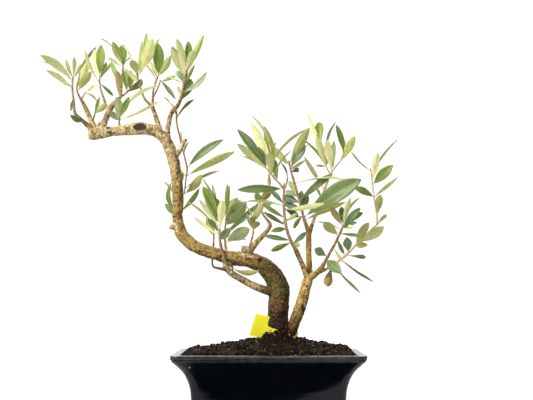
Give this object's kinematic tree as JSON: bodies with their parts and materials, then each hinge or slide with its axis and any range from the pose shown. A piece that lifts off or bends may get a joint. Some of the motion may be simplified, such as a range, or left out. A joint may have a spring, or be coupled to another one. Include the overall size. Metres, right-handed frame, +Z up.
{
  "type": "olive bonsai",
  "caption": "Potted olive bonsai: a bent bare trunk and a slimmer second trunk with leafy stems, in a dark rectangular glazed pot heaped with soil, with a blank plant label.",
  "frame": {"origin": "on the resting surface, under the middle of the pot", "axes": "+Z up, +X to the right along the pot's long side as the tree is seen from the front, +Y away from the viewer"},
  "size_m": [0.3648, 0.144, 0.4065],
  "materials": {
    "bark": "rough",
    "foliage": "satin",
    "glaze": "gloss",
    "earth": "rough",
    "label_plastic": "satin",
    "mesh_plastic": "matte"
  },
  "bodies": {
    "root": {"drain_screen_left": "mesh_plastic", "drain_screen_right": "mesh_plastic", "olive_wood": "bark", "plant_label": "label_plastic", "pot": "glaze", "soil": "earth", "spray_behind": "foliage", "spray_crown_dark": "foliage", "spray_crown_left": "foliage", "spray_crown_pale": "foliage", "spray_crown_right": "foliage", "spray_crown_up": "foliage", "spray_fork_base": "foliage", "spray_hanging": "foliage", "spray_low_broad": "foliage", "spray_low_fork": "foliage", "spray_low_left": "foliage", "spray_low_pale": "foliage", "spray_mid": "foliage", "spray_mid_top": "foliage", "spray_on_bend": "foliage", "spray_tip": "foliage", "spray_tip_inner": "foliage", "stem_centre": "foliage", "stem_far": "foliage", "stem_fork": "foliage", "stem_left": "foliage", "stem_right": "foliage"}
  },
  "joints": []
}
